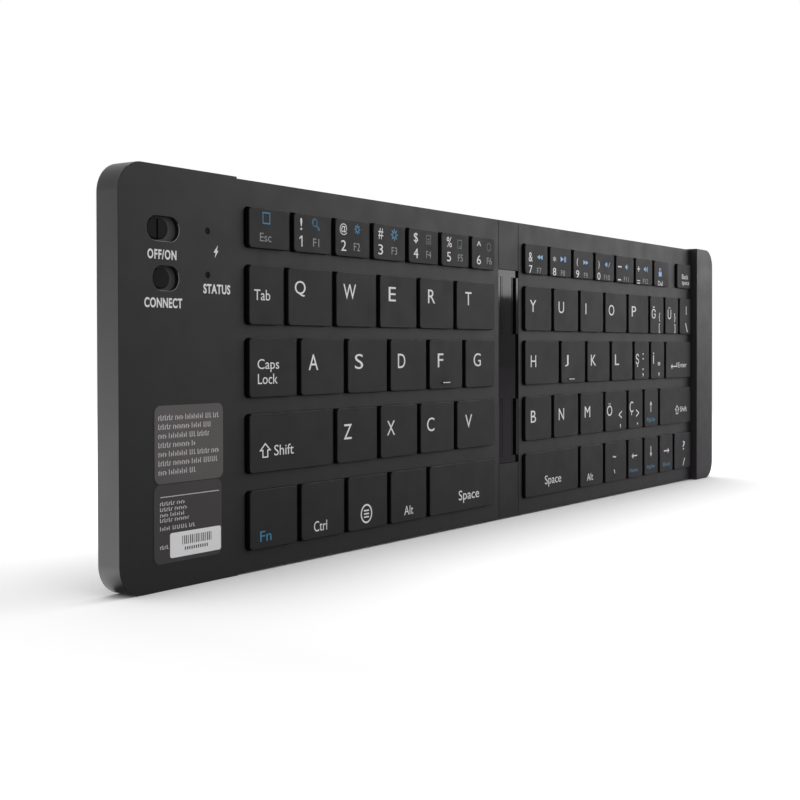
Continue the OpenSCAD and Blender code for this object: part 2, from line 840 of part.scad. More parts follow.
left_base();
left_deck();
margin_cover();
left_feet();
left_screws();
left_key_plate();
left_membrane();
left_dome_sheet();
left_scissors();
battery();
main_board();
charge_port();
light_pipes();
left_magnets();
left_hinge_leaf();
power_slider();
connect_slider();
right_base();
right_deck();
end_rail();
right_feet();
right_screws();
right_key_plate();
right_membrane();
right_dome_sheet();
right_scissors();
right_magnets();
right_hinge_leaf();
spine_body();
spine_cover();
hinge_pins();
flex_cable();
bank_keys(left_banks[0]);  // left_number_keys
key(left_banks[1], 0);  // key_tab
key(left_banks[1], 1);  // key_q
key(left_banks[1], 2);  // key_w
key(left_banks[1], 3);  // key_e
key(left_banks[1], 4);  // key_r
key(left_banks[1], 5);  // key_t
key(left_banks[2], 0);  // key_caps_lock
key(left_banks[2], 1);  // key_a
key(left_banks[2], 2);  // key_s
key(left_banks[2], 3);  // key_d
key(left_banks[2], 4);  // key_f
key(left_banks[2], 5);  // key_g
key(left_banks[3], 0);  // key_left_shift
key(left_banks[3], 1);  // key_z
key(left_banks[3], 2);  // key_x
key(left_banks[3], 3);  // key_c
key(left_banks[3], 4);  // key_v
key(left_banks[4], 0);  // key_fn
key(left_banks[4], 1);  // key_ctrl
key(left_banks[4], 2);  // key_system
key(left_banks[4], 3);  // key_left_alt
key(left_banks[4], 4);  // key_left_space
right_number_keys();
bank_keys(right_banks[2]);  // right_upper_keys
bank_keys(right_banks[3]);  // right_home_keys
bank_keys(right_banks[4]);  // right_lower_keys
bank_keys(right_banks[5]);  // right_bottom_keys
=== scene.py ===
import json
import math

import bmesh
import bpy
from mathutils import Matrix, Vector


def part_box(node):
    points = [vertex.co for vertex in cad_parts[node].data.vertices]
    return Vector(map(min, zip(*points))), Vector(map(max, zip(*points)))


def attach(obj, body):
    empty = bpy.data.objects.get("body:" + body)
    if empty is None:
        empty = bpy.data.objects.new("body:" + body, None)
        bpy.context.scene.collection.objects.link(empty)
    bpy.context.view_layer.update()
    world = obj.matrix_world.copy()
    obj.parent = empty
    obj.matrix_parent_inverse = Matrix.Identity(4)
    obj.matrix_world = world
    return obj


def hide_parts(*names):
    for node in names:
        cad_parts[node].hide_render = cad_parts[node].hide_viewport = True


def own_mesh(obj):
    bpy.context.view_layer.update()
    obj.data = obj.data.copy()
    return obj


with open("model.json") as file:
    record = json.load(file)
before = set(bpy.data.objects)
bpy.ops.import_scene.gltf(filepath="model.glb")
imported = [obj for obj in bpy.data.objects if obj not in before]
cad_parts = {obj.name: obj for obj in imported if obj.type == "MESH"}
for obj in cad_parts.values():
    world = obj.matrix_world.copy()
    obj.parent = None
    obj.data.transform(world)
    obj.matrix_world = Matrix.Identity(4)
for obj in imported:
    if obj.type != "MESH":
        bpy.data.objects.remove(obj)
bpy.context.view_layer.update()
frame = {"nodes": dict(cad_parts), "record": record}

MM = 0.001
nodes = frame["nodes"]

# Heights and edges of the keyboard, in millimetres
DECK_Z = 6.3
KEY_Z = 7.0
RAIL_Z = 8.57
MARGIN_X = -111.6
HINGE_X = 5.4
CAP_Y = 41.0


# ---- camera ----

CAMERA_AT = (-316.2, 5.44, 187.82)  # millimetres
CAMERA_TURN = (34.562, 0.782, -0.114)  # yaw, pitch and roll in degrees
CAMERA_LENS = 59.445
CAMERA_SHIFT = -0.0405


def set_camera():
    """A level look along the keys from past the left end; +Y of the frame is up."""
    yaw, pitch, roll = (math.radians(a) for a in CAMERA_TURN)
    along = Vector((math.cos(yaw), 0, -math.sin(yaw)))
    across = Vector((math.sin(yaw), 0, math.cos(yaw)))
    rise = Vector((0, 1, 0))
    forward = math.cos(pitch) * along - math.sin(pitch) * rise
    upward = math.cos(pitch) * rise + math.sin(pitch) * along
    right = math.cos(roll) * across + math.sin(roll) * upward
    up = -math.sin(roll) * across + math.cos(roll) * upward
    data = bpy.data.cameras.new("studio camera")
    data.sensor_width = 36
    data.lens = CAMERA_LENS
    data.shift_y = CAMERA_SHIFT
    data.clip_start = 0.02
    data.clip_end = 20
    camera = bpy.data.objects.new("studio camera", data)
    turn = Matrix((right, up, -forward)).transposed().to_4x4()
    camera.matrix_world = Matrix.Translation(Vector(CAMERA_AT) * MM) @ turn
    bpy.context.scene.collection.objects.link(camera)
    bpy.context.scene.camera = camera


set_camera()
bpy.context.scene.view_settings.view_transform = "Standard"


# ---- materials ----

# Where most of a noise lies between 0 and 1
NOISE_BAND = (0.3, 0.7)
# Where the painted sheen beside the end rail starts and where it is palest, in metres
RAIL_SHEEN_BAND = (0.100, 0.126)


class Graph:
    """A node tree under construction."""

    def __init__(self, tree):
        self.tree = tree
        self.nodes = tree.nodes

    def add(self, kind, **settings):
        node = self.nodes.new(kind)
        for key, value in settings.items():
            setattr(node, key, value)
        return node

    def link(self, source, target):
        self.tree.links.new(source, target)

    def feed(self, socket, value):
        """Sets a socket to a number, or links it to another node's output."""
        if isinstance(value, (int, float)):
            socket.default_value = value
        else:
            self.link(value, socket)

    def reckon(self, operation, a, b):
        node = self.add("ShaderNodeMath", operation=operation)
        self.feed(node.inputs[0], a)
        self.feed(node.inputs[1], b)
        return node.outputs[0]

    def blend(self, factor, a, b):
        node = self.add("ShaderNodeMix", data_type="FLOAT")
        for name, value in (("Factor", factor), ("A", a), ("B", b)):
            self.feed(node.inputs[name], value)
        return node.outputs["Result"]

    def parts(self, vector):
        """The X, Y and Z of a vector."""
        node = self.add("ShaderNodeSeparateXYZ")
        self.link(vector, node.inputs["Vector"])
        return node.outputs

    def span(self, value, low, high, to_low, to_high):
        """Maps the band from low to high onto another, and clamps it."""
        node = self.add("ShaderNodeMapRange")
        node.clamp = True
        for name, number in (("From Min", low), ("From Max", high),
                             ("To Min", to_low), ("To Max", to_high)):
            node.inputs[name].default_value = number
        self.link(value, node.inputs["Value"])
        return node.outputs["Result"]


class Finish(Graph):
    """A node material under construction."""

    def __init__(self, name):
        self.material = bpy.data.materials.new(name)
        self.material.use_nodes = True
        super().__init__(self.material.node_tree)
        self.shader = self.nodes["Principled BSDF"]
        self.place = None

    def where(self):
        """The place on the piece, in metres of the keyboard's frame."""
        if self.place is None:
            self.place = self.add("ShaderNodeTexCoord").outputs["Object"]
        return self.place

    def noise(self, scale, detail=3.0, rough=0.55, stretch=None):
        node = self.add("ShaderNodeTexNoise")
        node.inputs["Scale"].default_value = scale
        node.inputs["Detail"].default_value = detail
        node.inputs["Roughness"].default_value = rough
        place = self.where()
        if stretch:
            mapping = self.add("ShaderNodeMapping")
            mapping.inputs["Scale"].default_value = stretch
            self.link(place, mapping.inputs["Vector"])
            place = mapping.outputs["Vector"]
        self.link(place, node.inputs["Vector"])
        return node.outputs["Fac"]

    def ramp(self, factor, stops):
        node = self.add("ShaderNodeValToRGB")
        ramp = node.color_ramp
        while len(ramp.elements) < len(stops):
            ramp.elements.new(0.5)
        for element, (at, colour) in zip(ramp.elements, stops):
            element.position = at
            element.color = (*colour, 1) if len(colour) == 3 else colour
        self.link(factor, node.inputs["Fac"])
        return node.outputs["Color"]

    def two_tone(self, factor, dark, light):
        low, high = NOISE_BAND
        return self.ramp(factor, [(low, dark), (high, light)])

    def bump(self, height, depth, strength):
        node = self.add("ShaderNodeBump")
        node.inputs["Distance"].default_value = depth
        node.inputs["Strength"].default_value = strength
        self.link(height, node.inputs["Height"])
        self.link(node.outputs["Normal"], self.shader.inputs["Normal"])

    def colour(self, socket):
        self.link(socket, self.shader.inputs["Base Color"])

    def rough(self, noise, low, high):
        self.link(self.span(noise, *NOISE_BAND, low, high), self.shader.inputs["Roughness"])


def tint(colour, by):
    """A colour made lighter or darker."""
    return tuple(min(1, max(0, c * by)) for c in colour)


def moulded(name, colour, low, high, grain=4200, depth=0.00001, spread=0.12, specular=0.5,
            rail_sheen=0.0):
    """Spark-eroded plastic: a fine grain, faint cloudiness and rubbed patches.

    The last argument is painted light: how pale the plastic is made in the corner beside the
    end rail, a painted sheen."""
    f = Finish(name)
    f.shader.inputs["Specular IOR Level"].default_value = specular
    shade = f.two_tone(f.noise(28, 4), tint(colour, 1 - spread), tint(colour, 1 + spread))
    # Painted sheen: the colour turns paler toward the end rail
    if rail_sheen:
        along = f.parts(f.where())["X"]
        paler = f.add("ShaderNodeMix", data_type="RGBA")
        f.link(f.span(along, *RAIL_SHEEN_BAND, 0, 1), paler.inputs["Factor"])
        f.link(shade, paler.inputs["A"])
        paler.inputs["B"].default_value = (*tint(colour, rail_sheen), 1)
        shade = paler.outputs["Result"]
    f.colour(shade)
    f.rough(f.noise(160, 4), low, high)
    f.bump(f.noise(grain, 2, 0.6), depth, 0.7)
    return f.material


def metal(name, colour, low, high, stretch=(1, 1, 1), scale=900):
    """Rolled or plated metal with faint streaks."""
    f = Finish(name)
    f.shader.inputs["Metallic"].default_value = 1
    streaks = f.noise(scale, 3, 0.6, stretch)
    f.colour(f.two_tone(streaks, tint(colour, 0.88), tint(colour, 1.06)))
    f.rough(streaks, low, high)
    f.bump(streaks, 0.000006, 0.5)
    return f.material


CHARCOAL = (0.0100, 0.0096, 0.0101)
SMOKE = (0.0085, 0.0082, 0.0086)

# Deck and keys carry a painted sheen, paler beside the end rail
deck_finish = moulded("deck plastic", CHARCOAL, 0.50, 0.58, rail_sheen=1.45)
key_finish = moulded("key plastic", SMOKE, 0.60, 0.68, 5200, 0.000008, specular=0.49,
                     rail_sheen=1.4)
# Key sides are painted near-black: painted shade in the narrow gaps between keys
skirt_shade_finish = moulded("key skirt", (0.004, 0.004, 0.0041), 0.34, 0.42, 5200, 0.000004)
cap_finish = moulded("margin plastic", CHARCOAL, 0.50, 0.58)
flank_finish = moulded("flank plastic", tint(CHARCOAL, 0.8), 0.34, 0.40, 4200, 0.000004)
# The rail's low wall is painted paler than its plastic: a painted sheen
wall_sheen_finish = moulded("rail wall", tint(CHARCOAL, 2.6), 0.46, 0.54)
# The slot rims' pale crescent is a painted highlight
rim_highlight_finish = moulded("slot rim", (0.50, 0.50, 0.505), 0.30, 0.36, 4200, 0.000002)
rail_finish = moulded("rail plastic", tint(CHARCOAL, 1.1), 0.46, 0.54)
base_finish = moulded("base plastic", tint(CHARCOAL, 1.1), 0.50, 0.60, 2600, 0.00002)
spine_finish = moulded("spine plastic", tint(CHARCOAL, 0.85), 0.48, 0.56, specular=0.42)
gloss_finish = moulded("gloss cover", (0.006, 0.006, 0.0063), 0.035, 0.05, 900, 0.000001,
                       specular=0.24)
arm_finish = moulded("leaf plastic", (0.006, 0.006, 0.0063), 0.05, 0.08, 900, 0.000001,
                     specular=0.3)
knob_finish = moulded("knob plastic", (0.006, 0.006, 0.006), 0.50, 0.60, 3000, 0.000008,
                      specular=0.12)
# The trays are painted paler than the knobs: painted light in the sunk slot
tray_lit_finish = moulded("slider tray", (0.075, 0.074, 0.076), 0.50, 0.58, 3000, 0.000008)
rubber_finish = moulded("foot rubber", (0.016, 0.016, 0.016), 0.70, 0.82, 1800, 0.00002)
dome_finish = moulded("dome silicone", (0.62, 0.62, 0.60), 0.42, 0.52, 1500, 0.00001)
link_finish = moulded("link nylon", (0.66, 0.66, 0.63), 0.38, 0.48, 1800, 0.00001)
lens_finish = moulded("lamp lens", (0.004, 0.004, 0.0045), 0.30, 0.40, 1500, 0.000002,
                      specular=0.08)
label_finish = moulded("label film", (0.098, 0.092, 0.089), 0.40, 0.48, 2600, 0.000004,
                       0.16)
plate_finish = moulded("plate film", (0.048, 0.045, 0.046), 0.40, 0.48, 2600, 0.000004)
# The knob's groove is a near-black strip: painted shade
groove_shade_finish = moulded("groove", (0.0008, 0.0008, 0.0008), 0.60, 0.70, 2600, 0.000002,
                        specular=0.0)
tag_finish = moulded("white film", (0.88, 0.88, 0.88), 0.45, 0.55, 2600, 0.000004, 0.03)
# Colour of each ink, and how much it clouds
INK_TONES = {
    "white": ((0.86, 0.87, 0.86), 0.05),
    "grey": ((0.28, 0.28, 0.28), 0.05),
    "blue": ((0.038, 0.24, 0.41), 0.06),
    "pale blue": ((0.30, 0.55, 0.88), 0.06),
    "slate": ((0.085, 0.115, 0.125), 0.06),
    "small print": ((0.60, 0.59, 0.58), 0.12),
    "black": ((0.02, 0.02, 0.02), 0.12),
}
INKS = {name: moulded(name + " ink", tone, 0.45, 0.55, 5200, 0.000004, clouding)
        for name, (tone, clouding) in INK_TONES.items()}
steel_finish = metal("sheet steel", (0.56, 0.57, 0.58), 0.25, 0.38, (1, 14, 1))
screw_finish = metal("screw steel", (0.20, 0.20, 0.21), 0.28, 0.42, (6, 6, 1), 1400)
pin_finish = metal("pin steel", (0.50, 0.50, 0.51), 0.18, 0.28, (1, 12, 1))
plated_finish = metal("magnet plating", (0.66, 0.65, 0.62), 0.12, 0.22)
socket_finish = metal("socket shell", (0.52, 0.52, 0.54), 0.22, 0.34, (1, 1, 8))


def film_material():
    """Printed circuit film: silver tracks under a clear skin."""
    f = Finish("switch film")
    wave = f.add("ShaderNodeTexWave", wave_type="BANDS", bands_direction="Y")
    wave.inputs["Scale"].default_value = 420
    wave.inputs["Distortion"].default_value = 0.6
    f.link(f.where(), wave.inputs["Vector"])
    f.colour(f.ramp(wave.outputs["Fac"],
                    [(0.42, (0.60, 0.56, 0.44)), (0.5, (0.42, 0.42, 0.41))]))
    f.rough(f.noise(200), 0.24, 0.34)
    f.bump(wave.outputs["Fac"], 0.00001, 0.5)
    return f.material


def cable_material():
    """Amber film with copper tracks that run from half to half."""
    f = Finish("cable film")
    wave = f.add("ShaderNodeTexWave", wave_type="BANDS", bands_direction="Y")
    wave.inputs["Scale"].default_value = 520
    f.link(f.where(), wave.inputs["Vector"])
    f.colour(f.ramp(wave.outputs["Fac"],
                    [(0.4, (0.30, 0.13, 0.03)), (0.6, (0.45, 0.24, 0.09))]))
    f.rough(f.noise(300), 0.26, 0.36)
    f.bump(wave.outputs["Fac"], 0.00001, 0.5)
    return f.material


def board_material():
    """Solder mask over routed tracks, with the parts' dark bodies above it."""
    f = Finish("circuit board")
    brick = f.add("ShaderNodeTexBrick", offset=0.5)
    brick.inputs["Scale"].default_value = 300
    brick.inputs["Mortar Size"].default_value = 0.02
    brick.inputs["Color1"].default_value = (0.012, 0.10, 0.035, 1)
    brick.inputs["Color2"].default_value = (0.010, 0.085, 0.03, 1)
    brick.inputs["Mortar"].default_value = (0.03, 0.17, 0.07, 1)
    f.link(f.where(), brick.inputs["Vector"])
    above = f.span(f.parts(f.where())["Z"], 2.81 * MM, 2.82 * MM, 0, 1)
    mix = f.add("ShaderNodeMix", data_type="RGBA")
    mix.inputs["B"].default_value = (0.02, 0.02, 0.021, 1)
    f.link(above, mix.inputs["Factor"])
    f.link(brick.outputs["Color"], mix.inputs["A"])
    f.colour(mix.outputs["Result"])
    f.rough(f.noise(220), 0.32, 0.44)
    f.bump(brick.outputs["Fac"], 0.00002, 0.5)
    return f.material


def foil_material():
    """The battery's crimped foil pouch."""
    f = Finish("cell foil")
    f.shader.inputs["Metallic"].default_value = 1
    creases = f.noise(90, 5, 0.6)
    f.colour(f.two_tone(creases, (0.50, 0.51, 0.53), (0.68, 0.69, 0.71)))
    f.rough(creases, 0.26, 0.42)
    f.bump(creases, 0.00015, 0.6)
    return f.material


def paint(node, material):
    """Gives a CAD node its finish."""
    mesh = nodes[node].data
    mesh.materials.clear()
    mesh.materials.append(material)


film_finish = film_material()
cable_finish = cable_material()
board_finish = board_material()
foil_finish = foil_material()

LEFT_KEYS = ["key_tab", "key_q", "key_w", "key_e", "key_r", "key_t",
             "key_caps_lock", "key_a", "key_s", "key_d", "key_f", "key_g",
             "key_left_shift", "key_z", "key_x", "key_c", "key_v",
             "key_fn", "key_ctrl", "key_system", "key_left_alt", "key_left_space"]
KEY_ROWS = ["left_number_keys", "right_number_keys", "right_upper_keys",
            "right_home_keys", "right_lower_keys", "right_bottom_keys"]

FINISHES = [
    (base_finish, ["left_base", "right_base"]),
    (deck_finish, ["left_deck", "right_deck"]),
    (cap_finish, ["margin_cover"]),
    (rail_finish, ["end_rail"]),
    (spine_finish, ["spine_body"]),
    (gloss_finish, ["spine_cover"]),
    (arm_finish, ["left_hinge_leaf", "right_hinge_leaf"]),
    (key_finish, LEFT_KEYS + KEY_ROWS),
    (knob_finish, ["power_slider", "connect_slider"]),
    (rubber_finish, ["left_feet", "right_feet"]),
    (dome_finish, ["left_dome_sheet", "right_dome_sheet"]),
    (link_finish, ["left_scissors", "right_scissors"]),
    (film_finish, ["left_membrane", "right_membrane"]),
    (cable_finish, ["flex_cable"]),
    (steel_finish, ["left_key_plate", "right_key_plate"]),
    (screw_finish, ["left_screws", "right_screws"]),
    (pin_finish, ["hinge_pins"]),
    (plated_finish, ["left_magnets", "right_magnets"]),
    (socket_finish, ["charge_port"]),
    (foil_finish, ["battery"]),
    (board_finish, ["main_board"]),
    (lens_finish, ["light_pipes"]),
]
for finish, members in FINISHES:
    for member in members:
        paint(member, finish)


# ---- pieces ----

WELD = 0.0005  # corners nearer than this are one
FLAT_TO = 0.4  # degrees within which two faces are one
SHARP_FROM = 35  # degrees at which an edge gets rounded
SHADE_SHARP_FROM = 38  # degrees at which an edge is left sharp in the shading
ROUND_STEPS = 3
WAIST = 3  # half the band in the middle of a key that stays where it is
KEY_WIDEN = 0.11
KNOB_FOOT_Z = 5.25
SLOTS_X = (-142, -125)  # the switches' slots lie between these
WEB_CLEAR = (0.2, 0.6)  # from a web to the key on its left and on its right
WEB_REACH = 0.17
WEB_T = 0.5
WEB_GAPS = (1.2, 2.2)  # gaps between keys that hold a web


def body_of(node):
    """The body that a CAD node rides on."""
    return next(b for b, members in frame["record"]["behaviour"]["bodies"].items()
                if node in members)


def piece(name, bm, material, body, smooth=True):
    """Turns a bmesh in millimetres into a piece that rides on a body."""
    bmesh.ops.transform(bm, matrix=Matrix.Scale(MM, 4), verts=bm.verts)
    mesh = bpy.data.meshes.new(name)
    bm.to_mesh(mesh)
    bm.free()
    if smooth:
        mesh.shade_smooth()
    mesh.materials.append(material)
    made = bpy.data.objects.new(name, mesh)
    bpy.context.scene.collection.objects.link(made)
    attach(made, body)
    return made


def weigh_normals(made):
    """Keeps the large faces flat beside their rounded edges."""
    weigh = made.modifiers.new("weighted normals", "WEIGHTED_NORMAL")
    weigh.keep_sharp = True
    weigh.weight = 100


def merged_copy(node):
    """A node's triangles as one closed skin of flat faces, in millimetres."""
    bm = bmesh.new()
    bm.from_mesh(nodes[node].data)
    bmesh.ops.transform(bm, matrix=Matrix.Scale(1 / MM, 4), verts=bm.verts)
    bmesh.ops.remove_doubles(bm, verts=bm.verts, dist=WELD)
    bmesh.ops.dissolve_limit(bm, angle_limit=math.radians(FLAT_TO), verts=bm.verts,
                             edges=bm.edges, use_dissolve_boundaries=False, delimit=set())
    return bm


def sharp_edges(bm, wanted):
    """The sharp edges whose two ends are wanted."""
    limit = math.radians(SHARP_FROM)
    found = []
    for e in bm.edges:
        if len(e.link_faces) == 2 and e.calc_face_angle() > limit:
            a, b = (v.co for v in e.verts)
            if wanted(a, b):
                found.append(e)
    return found


def rounded(node, wanted, width, finishes, pick=None, widen=0.0):
    """Stands in for a CAD node whose moulded edges are rounded off.

    Pick says which finish a face gets; widen moves the two long sides apart."""
    bm = merged_copy(node)
    middle = sum(corner[1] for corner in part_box(node)) / 2 / MM
    for v in bm.verts:
        if abs(v.co.y - middle) > WAIST:
            v.co.y += math.copysign(widen, v.co.y - middle)
    bmesh.ops.bevel(bm, geom=sharp_edges(bm, wanted), offset=width, offset_type="OFFSET",
                    segments=ROUND_STEPS, profile=0.5, affect="EDGES", material=-1,
                    clamp_overlap=True, loop_slide=False)
    for e in bm.edges:
        e.smooth = not (len(e.link_faces) == 2
                        and e.calc_face_angle() > math.radians(SHADE_SHARP_FROM))
    if pick:
        for face in bm.faces:
            face.material_index = pick(face)
    made = piece(node + "_moulded", bm, finishes[0], body_of(node))
    for finish in finishes[1:]:
        made.data.materials.append(finish)
    weigh_normals(made)
    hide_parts(node)
    return made


def over(z):
    """Wants the edges that lie above a height."""
    return lambda a, b: a.z > z and b.z > z


def upright(face):
    """1 for a flank, 0 for a face that looks up."""
    return 1 if face.normal.z < 0.3 else 0


def margin_part(face):
    """Face, flank or the rim of a switch slot; the rim's crescent is a painted highlight."""
    place = face.calc_center_median()
    rim = (place.z > DECK_Z - 0.3 and SLOTS_X[0] < place.x < SLOTS_X[1]
           and place.y > 0)
    if rim and 0.15 < face.normal.z < 0.95 and face.normal.y - face.normal.x > 0.3:
        return 2
    return upright(face)


def slider_part(face):
    """A dark knob on a paler tray, whose paleness is painted light in the slot."""
    return 1 if face.calc_center_median().z < KNOB_FOOT_Z else 0


def rail_part(face):
    """Top, flanks or the low wall beside the keys; the wall's paler tone is a painted sheen.
    """
    if face.normal.z > 0.3:
        return 0
    return 1 if face.normal.x > -0.5 else 2


for key in LEFT_KEYS + KEY_ROWS:
    rounded(key, over(KEY_Z - 0.01), 0.15, [key_finish, skirt_shade_finish], pick=upright,
            widen=KEY_WIDEN)
rounded("margin_cover", lambda a, b: min(a.z, b.z) > DECK_Z - 0.01
        and min(a.x, b.x) < MARGIN_X - 0.1, 0.18, [cap_finish, flank_finish, rim_highlight_finish],
        pick=margin_part)
rounded("end_rail", over(RAIL_Z - 0.01), 0.25, [rail_finish, flank_finish, wall_sheen_finish],
        pick=rail_part)
for deck, edge in (("left_deck", -HINGE_X), ("right_deck", HINGE_X)):
    rounded(deck, lambda a, b: min(a.z, b.z) > DECK_Z - 0.01
            and max(abs(a.x - edge), abs(b.x - edge)) < 0.1, 0.2, [deck_finish])
for slider in ("power_slider", "connect_slider"):
    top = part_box(slider)[1][2] / MM
    rounded(slider, over(top - 0.01), 0.25, [knob_finish, tray_lit_finish], pick=slider_part)


def key_faces(node):
    """The top and bottom edges in Y and the reach in X of each key face of a node."""
    bm = merged_copy(node)
    faces = sorted((min(v.co.x for v in f.verts), max(v.co.x for v in f.verts))
                   for f in bm.faces if f.normal.z > 0.99
                   and f.calc_center_median().z > KEY_Z - 0.01)
    bm.free()
    low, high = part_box(node)
    found = []
    for x0, x1 in faces:
        if found and x0 < found[-1][3] + 0.01:
            found[-1][3] = max(x1, found[-1][3])
        else:
            found.append([round(low[1] / MM, 2), round(high[1] / MM, 2), x0, x1])
    return found


def key_webs():
    """The deck's narrow webs between the keys of a row."""
    keys = sorted(key for node in LEFT_KEYS + KEY_ROWS for key in key_faces(node))
    webs = {"left_deck": bmesh.new(), "right_deck": bmesh.new()}
    for (bottom, top, _, x0), (other, _, x1, _) in zip(keys, keys[1:]):
        if abs(bottom - other) > 0.1 or not WEB_GAPS[0] < x1 - x0 < WEB_GAPS[1]:
            continue
        x0 += WEB_CLEAR[0]
        x1 -= WEB_CLEAR[1]
        bm = webs["left_deck" if x0 < 0 else "right_deck"]
        made = bmesh.ops.create_cube(bm, size=1)["verts"]
        bmesh.ops.scale(bm, verts=made, vec=(x1 - x0, top - bottom + 2 * WEB_REACH, WEB_T))
        bmesh.ops.translate(bm, verts=made, vec=((x0 + x1) / 2, (top + bottom) / 2,
                                                 DECK_Z - WEB_T / 2))
    for deck, bm in webs.items():
        made = piece(deck + "_webs", bm, deck_finish, body_of(deck), smooth=False)


def share(whole, wanted):
    """The faces of a skin that are wanted, closed again where it was cut."""
    bm = whole.copy()
    bmesh.ops.delete(bm, geom=[f for f in bm.faces if not wanted(f.calc_center_median())],
                     context="FACES")
    bmesh.ops.holes_fill(bm, edges=[e for e in bm.edges if e.is_boundary], sides=0)
    bmesh.ops.recalc_face_normals(bm, faces=bm.faces)
    return bm


def springs(node, keys, finish):
    """Domes or links, cut up into one share under each key, above the foot its joint holds,
    and a flat web.
    """
    whole = merged_copy(node)
    for key in keys:
        joint = next(j for j in frame["record"]["behaviour"]["joints"]
                     if j["child"] == body_of(key))
        foot = next(d["fixed_end_z_m"] for d in joint["deforming_nodes"]
                    if d["node"] == node)
        low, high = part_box(key)
        z = foot / MM + 0.01

        def under_key(at):
            return (at.z > z and low[0] < at.x * MM < high[0]
                    and low[1] < at.y * MM < high[1])

        bm = share(whole, under_key)
        made = piece(f"{node}_{key}", bm, finish, body_of(node), smooth=False)
        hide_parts(node)
        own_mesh(made)
    flat = share(whole, lambda at: at.z <= z)
    if flat.faces:
        made = piece(node + "_web", flat, finish, body_of(node), smooth=False)
        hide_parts(node)
    whole.free()


for side, keys in (("left", LEFT_KEYS + KEY_ROWS[:1]), ("right", KEY_ROWS[1:])):
    springs(side + "_scissors", keys, link_finish)
    springs(side + "_dome_sheet", keys, dome_finish)
key_webs()


# ---- print ----

PRINT = 0.012  # half the thickness of a coat of ink
PRINT_WELD = 0.0006
LABEL_T = 0.05
LABEL_SUNK = 0.01
GROOVE_X = -134.05
STEM = 0.19  # width of a stroke in the small print
WORD_LENGTHS = (7, 4, 9, 3, 6, 8, 5)

prints = {}
patches = {}
key_boxes = [(body_of(node), *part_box(node)) for node in LEFT_KEYS + KEY_ROWS]
margin_body = body_of("margin_cover")


def carrier(x, y):
    """The body under a point, and the height of the face that takes the ink."""
    if x > MARGIN_X:
        for body, low, high in key_boxes:
            if low[0] <= x * MM <= high[0] and low[1] <= y * MM <= high[1]:
                return body, KEY_Z
    return margin_body, DECK_Z


def ink_sheet(x, y, ink, lift=0.0):
    """The mesh for an ink on the body under a point, its flat patches, and its height."""
    body, z = carrier(x, y)
    if (body, ink) not in prints:
        prints[body, ink] = bmesh.new()
        patches[body, ink] = []
    return prints[body, ink], patches[body, ink], z + lift


def word(text, ink, x0, x1, top, bottom, weight=0.0, apart=1.0):
    """Sets a word so that its ink fills a box given in millimetres."""
    curve = bpy.data.curves.new("word", "FONT")
    curve.body = text
    curve.resolution_u = 4
    curve.extrude = 0.01
    curve.offset = weight
    curve.space_character = apart
    made = bpy.data.objects.new("word", curve)
    mesh = bpy.data.meshes.new_from_object(made)
    bm, _, z = ink_sheet((x0 + x1) / 2, (top + bottom) / 2, ink)
    old = len(bm.verts)
    bm.from_mesh(mesh)
    bm.verts.ensure_lookup_table()
    fresh = bm.verts[old:]
    left, right = min(v.co.x for v in fresh), max(v.co.x for v in fresh)
    foot, head = min(v.co.y for v in fresh), max(v.co.y for v in fresh)
    for v in fresh:
        v.co = (x0 + (v.co.x - left) * (x1 - x0) / (right - left),
                bottom + (v.co.y - foot) * (top - bottom) / (head - foot),
                z + (PRINT if v.co.z > 0 else -PRINT))
    bpy.data.meshes.remove(mesh)
    bpy.data.objects.remove(made)
    bpy.data.curves.remove(curve)


def stamp(ink, *corners, lift=0.0):
    """A patch of ink with straight sides."""
    x = sum(c[0] for c in corners) / len(corners)
    y = sum(c[1] for c in corners) / len(corners)
    bm, flat, z = ink_sheet(x, y, ink, lift)
    flat.append(bm.faces.new([bm.verts.new((*c, z - PRINT)) for c in corners]))


def dash(ink, x0, x1, top, bottom, lift=0.0):
    """A rectangle of ink."""
    stamp(ink, (x0, bottom), (x1, bottom), (x1, top), (x0, top), lift=lift)


def hoop(ink, x, y, radius, width, segments=28, turn=0.0):
    """A ring of ink, or a square outline where it has four segments."""
    bm, flat, z = ink_sheet(x, y, ink)
    loops = []
    for r in (radius, radius - width):
        ring = bmesh.ops.create_circle(bm, segments=segments, radius=r)["verts"]
        bmesh.ops.rotate(bm, verts=ring, cent=(0, 0, 0),
                         matrix=Matrix.Rotation(math.radians(turn), 3, "Z"))
        bmesh.ops.translate(bm, verts=ring, vec=(x, y, z - PRINT))
        loops += list({e for v in ring for e in v.link_edges})
    flat += bmesh.ops.bridge_loops(bm, edges=loops)["faces"]


def row(top, bottom, ink, *words, weight=0.0, apart=1.0):
    """Words that share a line; each is its text, its left end and its right end."""
    for text, x0, x1 in words:
        word(text, ink, x0, x1, top, bottom, weight, apart=apart)


